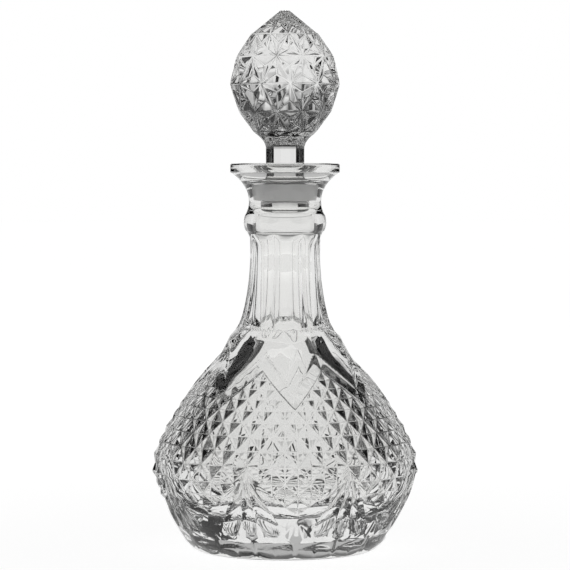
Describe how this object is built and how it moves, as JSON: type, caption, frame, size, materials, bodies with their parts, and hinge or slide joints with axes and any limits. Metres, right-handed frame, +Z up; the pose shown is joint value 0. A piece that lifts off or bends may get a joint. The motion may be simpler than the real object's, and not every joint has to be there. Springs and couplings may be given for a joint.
{
  "type": "wine decanter",
  "caption": "Cut-glass wine decanter with a round lattice-cut body, a fluted neck, a flared lip and a lift-out faceted stopper that seals with a soft sleeve.",
  "frame": {"origin": "middle of the resting ring, on the surface that the decanter stands on", "axes": "+Z up along the bottle's axis; one lattice panel faces -Y"},
  "size_m": [0.144, 0.144, 0.2898],
  "materials": {
    "clear_glass": "clear pressed glass, fire polished",
    "frosted_plastic": "soft frosted translucent plastic"
  },
  "bodies": {
    "bottle": {"bottle": "clear_glass"},
    "stopper": {"stopper": "clear_glass", "stopper_sleeve": "frosted_plastic"}
  },
  "joints": [
    {"name": "stopper_lift", "type": "slide", "parent": "bottle", "child": "stopper", "axis": [0, 0, 1], "range_m": [0, 0.05]}
  ]
}
